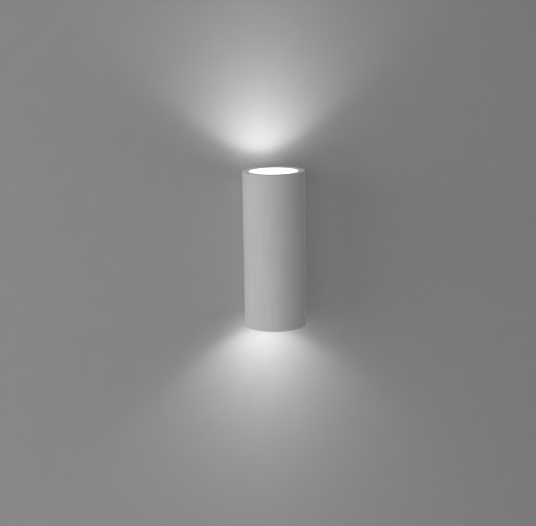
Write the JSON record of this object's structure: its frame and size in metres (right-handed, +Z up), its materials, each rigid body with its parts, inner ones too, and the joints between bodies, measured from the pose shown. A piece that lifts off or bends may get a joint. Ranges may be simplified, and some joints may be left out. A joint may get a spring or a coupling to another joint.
{
  "type": "tube wall light",
  "caption": "Up-and-down wall light: a cast plaster tube with a flat back that hangs on a hooked wall plate, a satin glass disc in each end and a reflector lamp behind each disc.",
  "frame": {"origin": "on the wall, midway between the two wall screws, at half the tube's height", "axes": "+Y points into the wall, +Z is up along the tube, +X is to the right seen from the room"},
  "size_m": [0.1, 0.096, 0.253],
  "materials": {
    "plaster": "matt cast plaster, painted white",
    "satin_glass": "satin, lit from behind",
    "zinc_steel": "zinc plated",
    "spring_steel": "bright",
    "brass": "bright",
    "ceramic": "unglazed ceramic",
    "lamp_plastic": "white",
    "lamp_glass": "clear",
    "silicone": "translucent white",
    "black_rubber": "matt",
    "block_plastic": "natural",
    "sleeve_brown": "silicone sleeve",
    "sleeve_blue": "silicone sleeve",
    "sleeve_earth": "green and yellow sleeve"
  },
  "bodies": {
    "wall_side": {"wall_plate": "zinc_steel", "cable_grommet": "black_rubber"},
    "light": {"tube_body": "plaster", "carrier": "zinc_steel", "carrier_screws": "zinc_steel", "clinch_nuts": "zinc_steel", "holder_bracket_top": "zinc_steel", "holder_bracket_bottom": "zinc_steel", "bracket_rivets": "zinc_steel", "lampholder_top": "ceramic", "lampholder_bottom": "ceramic", "lampholder_contacts": "brass", "lampholder_screws": "zinc_steel", "terminal_block": "block_plastic", "terminal_screws": "brass", "cable_clamp": "block_plastic", "clamp_screws": "zinc_steel", "earth_screw": "brass", "earth_lead": "sleeve_earth", "live_lead_top": "sleeve_brown", "live_lead_bottom": "sleeve_brown", "neutral_lead_top": "sleeve_blue", "neutral_lead_bottom": "sleeve_blue", "glass_seal_top": "silicone", "glass_seal_bottom": "silicone"},
    "top_lamp": {"lamp_body_top": "lamp_plastic", "lamp_base_top": "lamp_plastic", "lamp_pins_top": "brass", "lamp_lens_top": "lamp_glass"},
    "bottom_lamp": {"lamp_body_bottom": "lamp_plastic", "lamp_base_bottom": "lamp_plastic", "lamp_pins_bottom": "brass", "lamp_lens_bottom": "lamp_glass"},
    "top_cover": {"glass_top": "satin_glass"},
    "bottom_cover": {"glass_bottom": "satin_glass", "retaining_ring": "spring_steel"}
  },
  "joints": [
    {"name": "lift_off_hooks", "type": "slide", "parent": "wall_side", "child": "light", "axis": [0, 0, 1], "range_m": [0, 0.008]},
    {"name": "top_lamp_twist", "type": "hinge", "parent": "light", "child": "top_lamp", "pos_m": [0, -0.046, 0.051], "axis": [0, 0, 1], "range_deg": [0, 40]},
    {"name": "bottom_lamp_twist", "type": "hinge", "parent": "light", "child": "bottom_lamp", "pos_m": [0, -0.046, -0.051], "axis": [0, 0, -1], "range_deg": [0, 40]},
    {"name": "top_glass_lift", "type": "slide", "parent": "light", "child": "top_cover", "axis": [0, 0, 1], "range_m": [0, 0.04]},
    {"name": "bottom_glass_pull", "type": "slide", "parent": "light", "child": "bottom_cover", "axis": [0, 0, -1], "range_m": [0, 0.04]}
  ]
}
